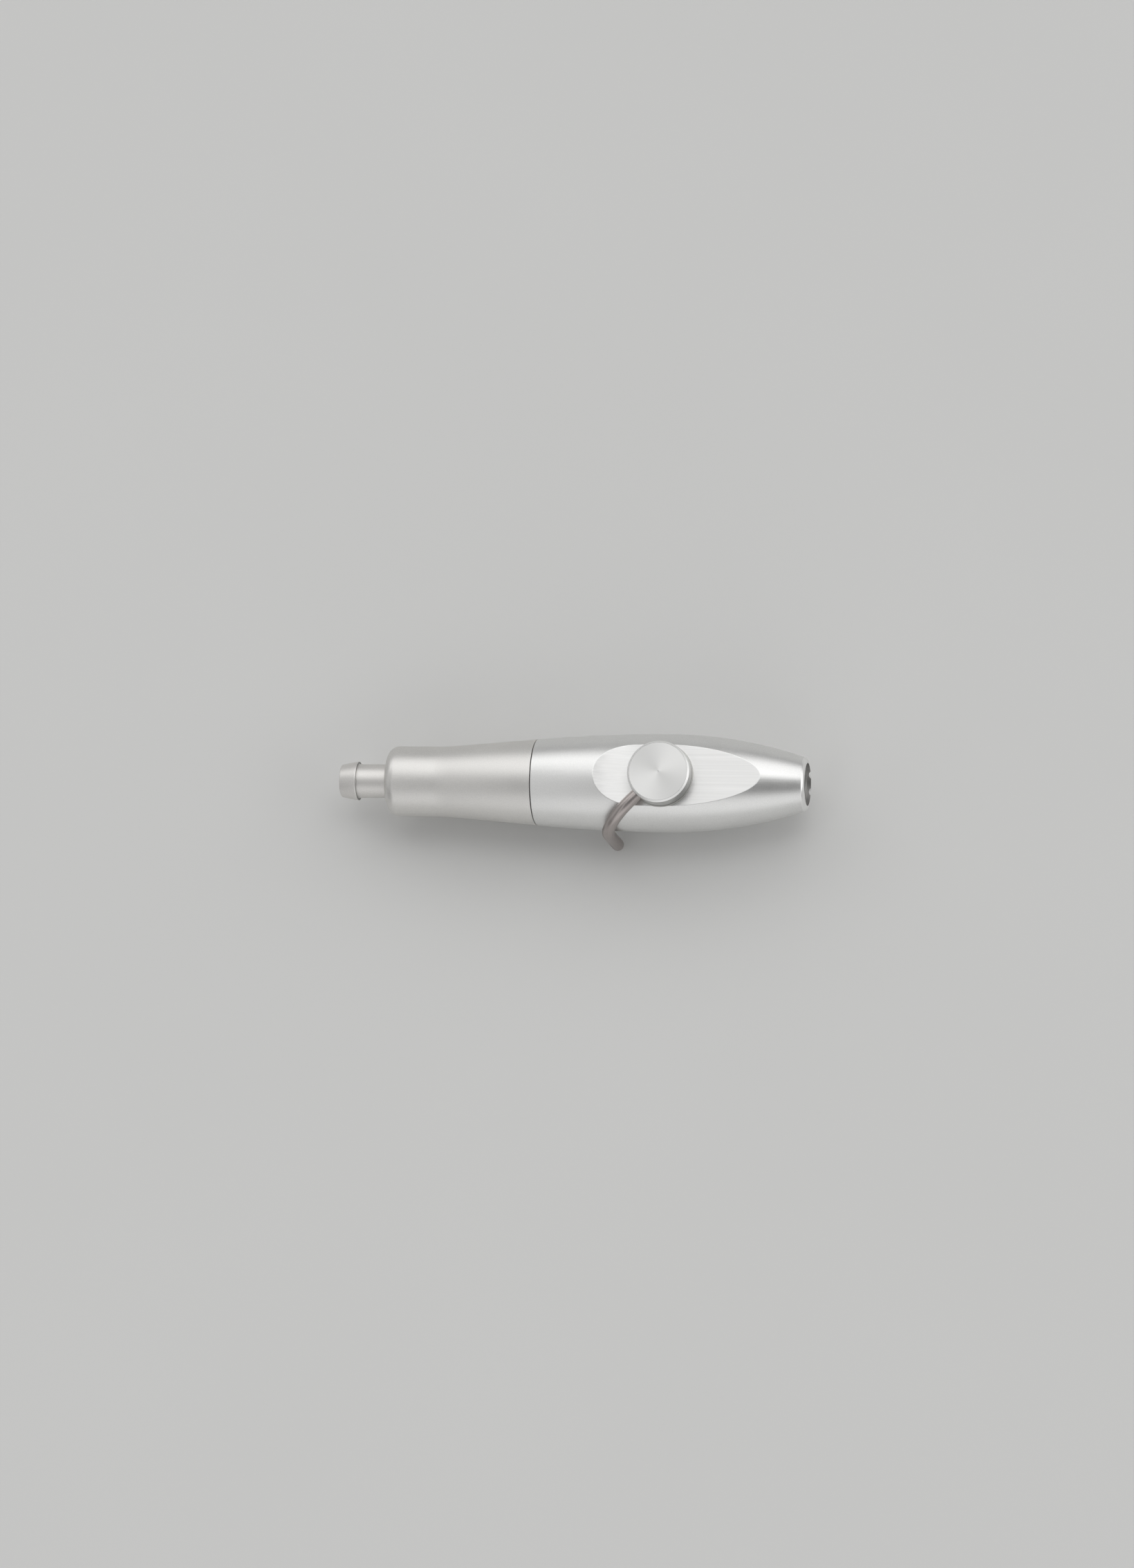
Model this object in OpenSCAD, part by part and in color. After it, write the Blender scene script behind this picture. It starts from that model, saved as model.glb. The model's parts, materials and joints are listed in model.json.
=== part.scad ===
// Low-volume dental suction (saliva ejector) valve handpiece.
// Millimetres. +X runs along the body axis and out of the nose, and X = 0 is where the
// straight grip bore of the tip socket begins. +Z is the turning axis of the valve, up through
// the knob, and the lever hangs down the -Y side. Every piece is its own solid.

/* [Valve body] */
// Diameter of the body at its widest, a standard 3/4 inch bar
body_d = 19.05; // [18.6:0.05:20]
// Where the body is widest
body_max_x = -26.1; // [-27:0.1:-25]
// Radius of the long arc from the widest point back to the seam
rear_arc_r = 293; // [260:1:330]
// Radius of the arc from the widest point to the nose
nose_arc_r = 83.5; // [82:0.1:88]
// Seam between the body and the tail housing
seam_x = -52; // [-53:0.5:-51]
// Front face of the nose
lip_x = 1; // [0.8:0.1:1.4]
// Radius of the rounded lip around the nose
lip_round = 1; // [0.6:0.1:1.2]
// Radius of the mouth inside the lip
mouth_r = 4.15; // [3.9:0.01:4.2]
// Depth of the two small scallops in the lip's far side
lip_notch = 0.4; // [0.2:0.05:0.5]
// Angle of the scallop on the +Y side, from straight down
scallop_far_angle = 38; // [34:1:42]
// Angle of the scallop on the -Y side
scallop_near_angle = 8; // [5:1:12]

/* [Flats] */
// Height of the two milled flats above and below the body axis
flat_z = 7.35; // [7.2:0.05:7.5]
// Where the flat stops being level and sweeps up towards the tail
flat_end_x = -31.6; // [-32:0.1:-31]
// Radius of the cutter sweep at the tail end of the flats
flat_sweep_r = 18; // [15:0.5:22]

/* [Tip socket] */
// Radius of the bore that grips a 6.5 mm saliva ejector tip
socket_r = 3.3; // [3.25:0.01:3.4]
// Depth of the grip bore
socket_l = 16; // [14:0.5:16]
// Depth of the front grip ring in the bore
grip_ring_x = 7; // [6:0.5:7]
// Distance between the two grip rings
grip_pitch = 5.5; // [4.5:0.5:5.5]

/* [Suction passage] */
// Radius of the passage through the body and the rotor
passage_r = 2.75; // [2.4:0.05:2.8]
// Radius of the bore in the hose barb
outlet_r = 2.4; // [2.2:0.05:2.5]

/* [Rotor] */
// Turning axis of the rotor, knob and lever
rotor_x = -26.45; // [-26.8:0.05:-26]
// Radius of the rotor barrel
rotor_r = 5; // [4.9:0.05:5.1]
// Radius of the rotor neck that passes through the front wall
neck_r = 2.9; // [2.8:0.05:3]
// Radius of the stem inside the knob
stem_r = 2.4; // [2.3:0.05:2.5]

/* [Knob] */
// Diameter of the knob
knob_d = 12.2; // [12:0.1:12.4]
// Height of the knob's face above the body axis
knob_top_z = 11.05; // [10.8:0.05:11.3]
// Radial width of the chamfer around the face
knob_chamfer = 0.38; // [0.3:0.01:0.5]
// Height of that chamfer
knob_chamfer_h = 0.6; // [0.4:0.05:0.8]
// Diameter of the washer under the knob
washer_d = 12.55; // [12.4:0.05:12.7]
// Thickness of that washer
washer_t = 0.3; // [0.25:0.05:0.4]

/* [Lever] */
// Diameter of the lever rod
lever_d = 2.45; // [2.3:0.05:2.5]
// Height of the rod's straight leg above the body axis
lever_z = 9.3; // [9.1:0.05:9.4]
// Distance from the turning axis to the rod's hanging leg
lever_reach = 15.1; // [15.1:0.1:16]
// Centreline radius of the bend
lever_bend_r = 7.5; // [6:0.5:9]
// Height of the centre of the rounded end
lever_end_z = -7.4; // [-8:0.1:-4]
// Direction of the straight leg, from +X towards +Y
lever_angle = 225; // [220:1:225]
// How far the rotor turns
turn_range = 90; // [80:5:95]

/* [Back cap] */
// Height of the cap's face below the body axis
cap_face_z = 9.6; // [9.55:0.05:9.8]
// Diameter of the cap
cap_d = 12; // [11.8:0.1:12.2]

/* [Tail housing] */
// Rear face of the tail housing
tail_rear_x = -81.6; // [-82:0.1:-81]
// Radius of the straight rear part
tail_r = 6.84; // [6.8:0.02:7]
// Where the straight part turns into the flare
flare_x = -70; // [-71:0.5:-69]
// Radius of the blend between the straight part and the flare
flare_blend_r = 30; // [20:1:40]
// Radius of the rounded rear shoulder
shoulder_r = 2.15; // [1.8:0.05:2.4]
// Width of the seam between the tail and the body
seam_gap = 0.15; // [0.1:0.01:0.2]
// Radius of the thread that joins the tail to the body
thread_r = 6; // [5.9:0.05:6]
// Pitch of that thread
thread_pitch = 1; // [0.75:0.25:1.25]

/* [Hose barb] */
// End face of the barb
barb_end_x = -91; // [-91.5:0.1:-90.5]
// Radius of the end face
barb_end_r = 3.15; // [3.1:0.01:3.2]
// Radius of the barb's crest
crest_r = 3.76; // [3.7:0.01:3.8]
// Place of the crest's outer edge
crest_x = -87.9; // [-88.4:0.1:-87.4]
// Length of the straight land on the crest
crest_land = 0.3; // [0.2:0.1:0.8]
// Radius of the stem behind the crest
barb_stem_r = 3.29; // [3.2:0.01:3.35]

/* [Solids screen] */
// Radius of the screen basket
basket_r = 3.9; // [3.7:0.1:4.1]
// Length of the screen basket
basket_l = 7.5; // [6:0.5:9]
// Radius of each perforation
mesh_hole_r = 0.55; // [0.4:0.05:0.6]

/* [Hidden] */
$fn = 96;
// Sides of the large circles that shape the body and the tail
fn_large = 1440;
eps = 0.01;
far = 30;

// Clearances between pieces that move on each other
run = 0.04;
slide_gap = 0.05;
seal_gap = 0.03;
// Clearance between pieces seated in each other
seat_gap = 0.02;

body_r = body_d / 2;
knob_r = knob_d / 2;
lever_r = lever_d / 2;
cap_r = cap_d / 2;

// Centre of the lip's round, which is tangent to the nose arc
lip_cx = lip_x - lip_round;
lip_cr = body_r - nose_arc_r
    + sqrt(pow(nose_arc_r - lip_round, 2) - pow(lip_cx - body_max_x, 2));
// Where the lip's round meets the nose arc
lip_tangent_x = body_max_x + (lip_cx - body_max_x) * nose_arc_r / (nose_arc_r - lip_round);
// Radius of the body at the seam
seam_r = body_r - rear_arc_r + sqrt(pow(rear_arc_r, 2) - pow(seam_x - body_max_x, 2));

// Floor of the mouth's counterbore; the grip bore's entry chamfer runs from here to X = 0
mouth_floor_x = 0.2;

// Spigot on the body: a plain register with the joint ring, then the thread
register_r = 6.55;
register_l = 2.8;
spigot_l = 8;
spigot_x = seam_x - spigot_l;
spigot_chamfer = 0.4;
thread_relief_l = 0.6;
thread_relief_r = thread_r - 0.5;
// Cone that opens the passage out at the spigot's end
throat_r = 4.6;
throat_l = 2.2;

// Small rings: cord radius and groove sizes
grip_cord_r = 0.6;
grip_groove_w = 1.4;
grip_inner_r = socket_r - 0.2;
grip_groove_r = grip_inner_r + 1.22;
rotor_cord_r = 0.5;
rotor_groove_w = 1.1;
rotor_groove_z = 3.75;
rotor_groove_r = rotor_r - 1;
joint_cord_r = 0.56;
joint_groove_w = 1.3;
joint_groove_x = seam_x - 1.6;
joint_groove_r = 5.44;
barb_cord_r = 0.56;
barb_groove_w = 1.3;
barb_groove_r = 4.03;

// Rotor heights, from the front wall down to the cap
wall_in_z = 5.3;
thrust_t = 0.4;
rotor_top_z = wall_in_z - thrust_t - slide_gap;
rotor_low_z = -4.9;
cap_top_z = -5.6;
cap_thread_r = 5.5;
// Height of the shallow spot faces that the knob's washer and the back cap sit on
seat_z = flat_z - 0.02;
washer_top_z = seat_z + washer_t;
knob_low_z = washer_top_z + slide_gap;
stem_top_z = knob_top_z - 0.5;
// Axial width of the port seals' seats in the body
port_seal_r = 3.6;
port_seal_l = 1.3;

// Stop pin and its slot in the knob, on the side away from the lever
pin_r = 0.6;
pin_reach = 4.6;
pin_low_z = 5.7;
pin_top_z = 8.6;
pin_slot_r = 0.7;
pin_slot_top_z = 8.75;
pin_angle = 90;

// Lever's threaded inner end, which locks the knob to the rotor stem
lever_thread_r = 0.85;
lever_thread_in = -1.5;
lever_shoulder = 2.9;

// Inside of the tail housing, from front to back
tail_bore_r = 5.2;
thread_end_x = spigot_x - 0.6;
screen_seat_x = spigot_x - 1.55;
flange_r = 5.85;
gasket_l = 1;
clip_x = -74.75;
clip_t = 0.7;
clip_groove_r = 5.65;
barb_front_x = -75.6;
barb_flange_l = 3.6;
barb_flange_r = tail_bore_r - slide_gap;
barb_back_x = barb_front_x - barb_flange_l;
tail_wall_x = -79.8;
flare_slope = atan2(seam_r - tail_r, seam_x - flare_x);
// Length from the flare's corner to either end of its blend
blend_l = flare_blend_r * tan(flare_slope / 2);

// A ring about X: a rectangle from radius r0 to r1 and from x0 to x1
module ring_x(x0, x1, r0, r1) {
    rotate([0, 90, 0])
    rotate_extrude()
    translate([r0, x0])
    square([r1 - r0, x1 - x0]);
}

// A round bar or drill along X from x0 to x1, with r0 at x0 and r1 at x1
module bar_x(x0, x1, r0, r1) {
    translate([x0, 0, 0])
    rotate([0, 90, 0])
    cylinder(h = x1 - x0, r1 = r0, r2 = r1);
}

// A round bar or drill along Z on the rotor's axis
module bar_z(z0, z1, r0, r1) {
    translate([rotor_x, 0, z0])
    cylinder(h = z1 - z0, r1 = r0, r2 = r1);
}

// A ring on the rotor's axis
module ring_z(z0, z1, r0, r1) {
    translate([rotor_x, 0, 0])
    rotate_extrude()
    translate([r0, z0])
    square([r1 - r0, z1 - z0]);
}

// A torus about X, centred on x, with its cord's centre at radius r
module o_ring_x(x, r, cord_r) {
    translate([x, 0, 0])
    rotate([0, 90, 0])
    rotate_extrude()
    translate([r, 0])
    circle(r = cord_r, $fn = 48);
}

// A torus about the rotor's axis
module o_ring_z(z, r, cord_r) {
    translate([rotor_x, 0, z])
    rotate_extrude()
    translate([r, 0])
    circle(r = cord_r, $fn = 48);
}

// Half outline of the body: radius across, place along X upwards
module body_outline() {
    intersection() {
        translate([0, seam_x])
        square([body_r, body_max_x - seam_x]);
        translate([body_r - rear_arc_r, body_max_x])
        circle(r = rear_arc_r, $fn = fn_large);
    }
    intersection() {
        translate([0, body_max_x - eps])
        square([body_r, lip_tangent_x - body_max_x + eps]);
        translate([body_r - nose_arc_r, body_max_x])
        circle(r = nose_arc_r, $fn = fn_large);
    }
    translate([lip_cr, lip_cx])
    circle(r = lip_round);
    translate([0, lip_cx - lip_round])
    square([lip_cr, 2 * lip_round]);
}

// The cut that leaves one flat: level along the body, swept up at the tail end
module flat_cut() {
    rotate([90, 0, 0])
    linear_extrude(height = far, center = true) {
        translate([flat_end_x, flat_z])
        square([far, far]);
        translate([flat_end_x, flat_z + flat_sweep_r])
        circle(r = flat_sweep_r, $fn = 360);
    }
}

module valve_body() {
    color([0.80, 0.80, 0.79])
    difference() {
        union() {
            rotate([0, 90, 0])
            rotate_extrude($fn = 180)
            body_outline();
            // Register and threaded spigot
            bar_x(seam_x - register_l, seam_x + eps, register_r, register_r);
            bar_x(spigot_x + spigot_chamfer, seam_x, thread_r, thread_r);
            bar_x(spigot_x, spigot_x + spigot_chamfer, thread_r - spigot_chamfer, thread_r);
        }
        flat_cut();
        mirror([0, 0, 1]) flat_cut();
        bar_z(seat_z, far, washer_d / 2 + seal_gap, washer_d / 2 + seal_gap);
        bar_z(-far, -seat_z, cap_r + seal_gap, cap_r + seal_gap);
        // Tip socket: mouth, grip bore and the two ring grooves
        bar_x(mouth_floor_x, far, mouth_r, mouth_r);
        bar_x(0, mouth_floor_x + eps, socket_r, socket_r + mouth_floor_x + eps);
        bar_x(-socket_l, eps, socket_r, socket_r);
        for (i = [0, 1]) {
            x = -grip_ring_x - i * grip_pitch;
            bar_x(x - grip_groove_w / 2, x + grip_groove_w / 2, grip_groove_r, grip_groove_r);
        }
        // Passage, opening out at the tail end
        bar_x(spigot_x - eps, 0, passage_r, passage_r);
        bar_x(spigot_x - eps, spigot_x + throat_l, throat_r, passage_r);
        // Seats of the port seals beside the rotor
        bar_x(rotor_x - rotor_r - port_seal_l, rotor_x + rotor_r + port_seal_l, port_seal_r, port_seal_r);
        // Rotor barrel, its neck hole and the cap's threaded counterbore
        bar_z(-flat_z - 1, wall_in_z, rotor_r + run, rotor_r + run);
        bar_z(wall_in_z - eps, flat_z + 1, neck_r + slide_gap, neck_r + slide_gap);
        bar_z(-flat_z - 1, cap_top_z + 0.1, cap_thread_r + seat_gap, cap_thread_r + seat_gap);
        // Blind hole of the stop pin
        translate([rotor_x, pin_reach, pin_low_z])
        cylinder(h = far, r = pin_r);
        // Groove of the joint ring and the relief behind the thread
        ring_x(joint_groove_x - joint_groove_w / 2, joint_groove_x + joint_groove_w / 2, joint_groove_r, far);
        ring_x(seam_x - register_l - thread_relief_l, seam_x - register_l, thread_relief_r, far);
        // Scallops in the lip
        for (angle = [scallop_far_angle, -scallop_near_angle])
            rotate([angle, 0, 0])
            translate([lip_x + 0.5, 0, -far])
            cylinder(h = far, r = 0.5 + lip_notch, $fn = 48);
    }
}

module tip_ring(i) {
    color([0.12, 0.12, 0.12])
    o_ring_x(-grip_ring_x - i * grip_pitch, grip_inner_r + grip_cord_r, grip_cord_r);
}

// A seal ring in the passage, hollowed to the rotor's barrel; dir is 1 towards the nose
module port_seal(dir) {
    color([0.94, 0.94, 0.90])
    difference() {
        translate([rotor_x, 0, 0])
        scale([dir, 1, 1])
        ring_x(0.5, rotor_r + port_seal_l - seat_gap, passage_r + slide_gap, port_seal_r - seat_gap);
        bar_z(-far, far, rotor_r + seal_gap, rotor_r + seal_gap);
    }
}

module joint_o_ring() {
    color([0.10, 0.10, 0.10])
    o_ring_x(joint_groove_x, register_r + seat_gap - joint_cord_r, joint_cord_r);
}

module rotor_thrust_washer() {
    color([0.94, 0.94, 0.90])
    ring_z(wall_in_z - thrust_t, wall_in_z, neck_r + 0.1, rotor_r - 0.05);
}

// A three-wave spring washer between the cap and the rotor
module rotor_spring() {
    steps = 72;
    r0 = 3.4;
    r1 = 4.7;
    t = 0.25;
    mid_z = (cap_top_z + rotor_low_z) / 2;
    swing = (rotor_low_z - cap_top_z - t) / 2 - 0.03;
    function wave(i) = mid_z + swing * sin(3 * 360 * i / steps);
    function corner(i, r, dz) = [
        r * cos(360 * i / steps), r * sin(360 * i / steps), wave(i) + dz
    ];
    points = [
        for (i = [0 : steps - 1])
            each [corner(i, r0, -t / 2), corner(i, r1, -t / 2), corner(i, r1, t / 2), corner(i, r0, t / 2)]
    ];
    faces = [
        for (i = [0 : steps - 1], k = [0 : 3])
            let (a = 4 * i, b = 4 * ((i + 1) % steps), n = (k + 1) % 4)
            [a + k, b + k, b + n, a + n]
    ];
    color([0.62, 0.62, 0.60])
    translate([rotor_x, 0, 0])
    polyhedron(points, faces, convexity = 4);
}

module knob_washer() {
    color([0.58, 0.58, 0.56])
    difference() {
        ring_z(seat_z, washer_top_z, neck_r + 0.1, washer_d / 2);
        translate([rotor_x, pin_reach, 0])
        cylinder(h = far, r = pin_r + seat_gap);
    }
}

module stop_pin() {
    edge = 0.15;
    length = pin_top_z - pin_low_z;
    color([0.55, 0.55, 0.54])
    translate([rotor_x, pin_reach, pin_low_z]) {
        cylinder(h = length - edge, r = pin_r);
        translate([0, 0, length - edge])
        cylinder(h = edge, r1 = pin_r, r2 = pin_r - edge);
    }
}

module back_cap() {
    edge = 0.5;
    slot_w = 1.4;
    slot_depth = 0.9;
    hollow_r = 3;
    color([0.80, 0.80, 0.79])
    difference() {
        union() {
            bar_z(-seat_z - eps, cap_top_z, cap_thread_r, cap_thread_r);
            bar_z(-cap_face_z + edge, -seat_z, cap_r, cap_r);
            bar_z(-cap_face_z, -cap_face_z + edge, cap_r - edge, cap_r);
        }
        translate([rotor_x - far / 2, -slot_w / 2, -cap_face_z - 1])
        cube([far, slot_w, slot_depth + 1]);
        // Hollow of the threaded part
        bar_z(-seat_z - 0.4, cap_top_z + eps, hollow_r, hollow_r);
    }
}

module valve_rotor() {
    edge = 0.2;
    color([0.66, 0.66, 0.65])
    difference() {
        union() {
            bar_z(rotor_low_z + edge, rotor_top_z, rotor_r, rotor_r);
            bar_z(rotor_low_z, rotor_low_z + edge, rotor_r - edge, rotor_r);
            bar_z(rotor_top_z - eps, knob_low_z, neck_r, neck_r);
            bar_z(knob_low_z - eps, stem_top_z, stem_r, stem_r);
        }
        for (side = [-1, 1])
            ring_z(side * rotor_groove_z - rotor_groove_w / 2, side * rotor_groove_z + rotor_groove_w / 2,
                rotor_groove_r, far);
        // Suction passage: across the body at rest, in line with it when open
        translate([rotor_x, 0, 0])
        rotate([90, 0, 0])
        cylinder(h = far, r = passage_r, center = true);
        // Hole that takes the lever's threaded end
        translate([rotor_x, 0, lever_z])
        rotate([0, 90, lever_angle])
        cylinder(h = 2 * far, r = lever_thread_r + slide_gap, center = true);
    }
}

module rotor_o_ring(side) {
    color([0.10, 0.10, 0.10])
    o_ring_z(side * rotor_groove_z, rotor_r + seat_gap - rotor_cord_r, rotor_cord_r);
}

module control_knob() {
    low_edge = 0.15;
    mark_r = 0.14;
    mark_depth = 0.12;
    color([0.84, 0.84, 0.83])
    difference() {
        union() {
            bar_z(knob_low_z + low_edge, knob_top_z - knob_chamfer_h, knob_r, knob_r);
            bar_z(knob_low_z, knob_low_z + low_edge, knob_r - low_edge, knob_r);
            bar_z(knob_top_z - knob_chamfer_h, knob_top_z, knob_r, knob_r - knob_chamfer);
        }
        bar_z(0, stem_top_z + seal_gap, stem_r + seat_gap, stem_r + seat_gap);
        // Radial hole of the lever
        translate([rotor_x, 0, lever_z])
        rotate([0, 90, lever_angle])
        cylinder(h = far, r = lever_r + 0.01);
        // Arc slot that runs past the stop pin
        translate([rotor_x, 0, 0])
        rotate([0, 0, pin_angle - turn_range])
        rotate_extrude(angle = turn_range)
        translate([pin_reach - pin_slot_r, 0])
        square([2 * pin_slot_r, pin_slot_top_z]);
        for (turned = [0, turn_range])
            translate([rotor_x, 0, 0])
            rotate([0, 0, pin_angle - turned])
            translate([pin_reach, 0, 0])
            cylinder(h = pin_slot_top_z, r = pin_slot_r);
        // Centre mark of the turned face
        bar_z(knob_top_z - mark_depth, knob_top_z + eps, 0, mark_r);
    }
}

// Rod with a quarter bend; built along +X in its own upright plane, then turned about Z
module lever() {
    bend_s = lever_reach - lever_bend_r;
    bend_z = lever_z - lever_bend_r;
    color([0.60, 0.58, 0.56])
    translate([rotor_x, 0, 0])
    rotate([0, 0, lever_angle]) {
        translate([lever_thread_in, 0, lever_z])
        rotate([0, 90, 0])
        cylinder(h = lever_shoulder - lever_thread_in, r = lever_thread_r);
        translate([lever_shoulder, 0, lever_z])
        rotate([0, 90, 0])
        cylinder(h = bend_s - lever_shoulder, r = lever_r);
        translate([bend_s, 0, bend_z])
        rotate([90, 0, 0])
        rotate_extrude(angle = 90)
        translate([lever_bend_r, 0])
        circle(r = lever_r, $fn = 48);
        translate([lever_reach, 0, lever_end_z])
        cylinder(h = bend_z - lever_end_z, r = lever_r);
        translate([lever_reach, 0, lever_end_z])
        sphere(r = lever_r);
    }
}

module solids_screen() {
    wall = 0.35;
    x0 = spigot_x - slide_gap - gasket_l;
    flange_t = 0.45;
    rows = 4;
    row_pitch = basket_l / (rows + 1);
    end_ring_r = 2.1;
    color([0.70, 0.70, 0.69])
    difference() {
        union() {
            bar_x(x0 - flange_t, x0, flange_r, flange_r);
            bar_x(x0 - basket_l, x0, basket_r, basket_r);
        }
        bar_x(x0 - basket_l + wall, x0 + eps, basket_r - wall, basket_r - wall);
        // Perforations: rows around the wall, staggered, then a ring of holes in the end
        for (row = [1 : rows], k = [0 : 7])
            rotate([45 * k + (row % 2) * 22.5, 0, 0])
            translate([x0 - flange_t - row * row_pitch, 0, basket_r - 1])
            cylinder(h = 2, r = mesh_hole_r, $fn = 24);
        for (k = [0 : 5])
            rotate([60 * k, 0, 0])
            translate([x0 - basket_l - 1, 0, end_ring_r])
            rotate([0, 90, 0])
            cylinder(h = 2, r = mesh_hole_r, $fn = 24);
        translate([x0 - basket_l - 1, 0, 0])
        rotate([0, 90, 0])
        cylinder(h = 2, r = mesh_hole_r, $fn = 24);
    }
}

module screen_gasket() {
    color([0.16, 0.16, 0.16])
    ring_x(spigot_x - slide_gap - gasket_l, spigot_x - slide_gap, throat_r, flange_r);
}

// Half outline of the tail housing's outside
module tail_outline() {
    front_x = seam_x - seam_gap;
    front_r = tail_r + (front_x - flare_x) * tan(flare_slope);
    edge = 0.08;
    difference() {
        polygon([
            [0, tail_rear_x + shoulder_r],
            [tail_r, tail_rear_x + shoulder_r],
            [tail_r, flare_x - blend_l],
            [tail_r + blend_l * sin(flare_slope), flare_x + blend_l * cos(flare_slope)],
            [front_r, front_x - edge],
            [front_r - edge, front_x],
            [0, front_x]
        ]);
        translate([tail_r + flare_blend_r, flare_x - blend_l])
        circle(r = flare_blend_r, $fn = fn_large);
    }
    translate([tail_r - shoulder_r, tail_rear_x + shoulder_r])
    circle(r = shoulder_r);
    translate([0, tail_rear_x])
    square([tail_r - shoulder_r, shoulder_r + eps]);
}

module tail_housing() {
    hole_r = barb_stem_r + slide_gap;
    hole_edge = 0.2;
    color([0.74, 0.73, 0.71])
    difference() {
        rotate([0, 90, 0])
        rotate_extrude($fn = 180)
        tail_outline();
        // Register counterbore, female thread, screen recess and the long chamber
        bar_x(seam_x - register_l - 0.3, 0, register_r + slide_gap, register_r + slide_gap);
        bar_x(thread_end_x, 0, thread_r + slide_gap, thread_r + slide_gap);
        bar_x(screen_seat_x, 0, flange_r + slide_gap, flange_r + slide_gap);
        bar_x(tail_wall_x, 0, tail_bore_r, tail_bore_r);
        // Groove of the retaining clip
        bar_x(clip_x - clip_t - slide_gap, clip_x + slide_gap, clip_groove_r, clip_groove_r);
        // Hole that the barb's stem comes out of
        bar_x(tail_rear_x - 1, tail_wall_x + 1, hole_r, hole_r);
        bar_x(tail_rear_x - eps, tail_rear_x + hole_edge, hole_r + hole_edge, hole_r);
    }
}

module barb_thrust_washer() {
    color([0.94, 0.94, 0.90])
    ring_x(tail_wall_x, barb_back_x - slide_gap, barb_stem_r + 0.1, tail_bore_r - 0.1);
}

// Internal snap ring: an open ring with two eyed ends
module barb_retaining_clip() {
    inner_r = 4.5;
    outer_r = clip_groove_r - slide_gap;
    gap_angle = 24;
    eye_r = 0.75;
    eye_hole_r = 0.4;
    eye_reach = 4.35;
    color([0.45, 0.45, 0.45])
    translate([clip_x - clip_t, 0, 0])
    rotate([90, 0, 90])
    linear_extrude(height = clip_t)
    difference() {
        union() {
            difference() {
                circle(r = outer_r);
                circle(r = inner_r);
                polygon([
                    [0, 0],
                    [far * sin(gap_angle), -far * cos(gap_angle)],
                    [-far * sin(gap_angle), -far * cos(gap_angle)]
                ]);
            }
            for (side = [-1, 1])
                rotate([0, 0, side * (gap_angle + 4)])
                translate([0, -eye_reach])
                circle(r = eye_r, $fn = 48);
        }
        for (side = [-1, 1])
            rotate([0, 0, side * (gap_angle + 4)])
            translate([0, -eye_reach])
            circle(r = eye_hole_r, $fn = 32);
    }
}

module hose_barb() {
    groove_x = (barb_front_x + barb_back_x) / 2;
    end_round = 0.12;
    funnel_r = 4.2;
    funnel_l = 1.8;
    color([0.74, 0.73, 0.71])
    difference() {
        union() {
            bar_x(barb_back_x, barb_front_x, barb_flange_r, barb_flange_r);
            bar_x(crest_x, barb_back_x + eps, barb_stem_r, barb_stem_r);
            bar_x(crest_x, crest_x + crest_land, crest_r, crest_r);
            bar_x(barb_end_x + end_round, crest_x, barb_end_r, crest_r);
            bar_x(barb_end_x, barb_end_x + end_round, barb_end_r - end_round, barb_end_r);
        }
        ring_x(groove_x - barb_groove_w / 2, groove_x + barb_groove_w / 2, barb_groove_r, far);
        bar_x(barb_end_x - 1, barb_front_x + 1, outlet_r, outlet_r);
        bar_x(barb_front_x - funnel_l, barb_front_x + eps, outlet_r, funnel_r);
    }
}

module barb_o_ring() {
    color([0.10, 0.10, 0.10])
    o_ring_x((barb_front_x + barb_back_x) / 2, tail_bore_r - seal_gap - barb_cord_r, barb_cord_r);
}

valve_body();
tip_ring(0);  // tip_ring_front
tip_ring(1);  // tip_ring_rear
port_seal(1);  // inlet_port_seal
port_seal(-1);  // outlet_port_seal
joint_o_ring();
rotor_thrust_washer();
rotor_spring();
knob_washer();
stop_pin();
back_cap();
valve_rotor();
rotor_o_ring(1);  // rotor_o_ring_front
rotor_o_ring(-1);  // rotor_o_ring_rear
control_knob();
lever();
solids_screen();
screen_gasket();
tail_housing();
barb_thrust_washer();
barb_retaining_clip();
hose_barb();
barb_o_ring();
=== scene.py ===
"""A dental suction valve handpiece: fine meshes, finishes, floor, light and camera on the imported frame.

The frame's axes are kept: +X out of the nose, +Z up through the knob. Lengths here are in millimetres,
and the meshes are made in the frame's metres.
"""

import json
import math

import bmesh
import bpy
import numpy as np
from mathutils import Matrix, Vector


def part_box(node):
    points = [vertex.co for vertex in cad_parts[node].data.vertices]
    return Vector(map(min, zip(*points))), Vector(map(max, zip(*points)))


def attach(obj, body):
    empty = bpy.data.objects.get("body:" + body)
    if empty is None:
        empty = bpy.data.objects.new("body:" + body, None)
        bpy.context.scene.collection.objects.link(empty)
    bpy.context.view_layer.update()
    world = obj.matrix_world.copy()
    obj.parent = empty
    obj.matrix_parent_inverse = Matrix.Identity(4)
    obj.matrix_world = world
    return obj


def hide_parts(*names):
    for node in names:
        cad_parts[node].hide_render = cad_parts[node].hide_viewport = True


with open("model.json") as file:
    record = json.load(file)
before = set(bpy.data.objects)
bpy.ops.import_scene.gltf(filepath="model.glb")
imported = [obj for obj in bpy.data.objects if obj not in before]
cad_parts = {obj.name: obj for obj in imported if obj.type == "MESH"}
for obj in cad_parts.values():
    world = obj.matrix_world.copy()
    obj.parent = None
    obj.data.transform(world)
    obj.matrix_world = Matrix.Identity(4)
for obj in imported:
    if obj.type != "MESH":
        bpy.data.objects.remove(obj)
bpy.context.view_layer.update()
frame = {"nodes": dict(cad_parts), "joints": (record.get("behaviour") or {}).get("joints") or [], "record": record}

MM = 0.001


def box_mm(node_name):
    """Lowest and highest corner of a CAD node, in millimetres."""
    low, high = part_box(node_name)
    return low / MM, high / MM


# ---------------------------------------------------------------- sizes from the frame

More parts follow.
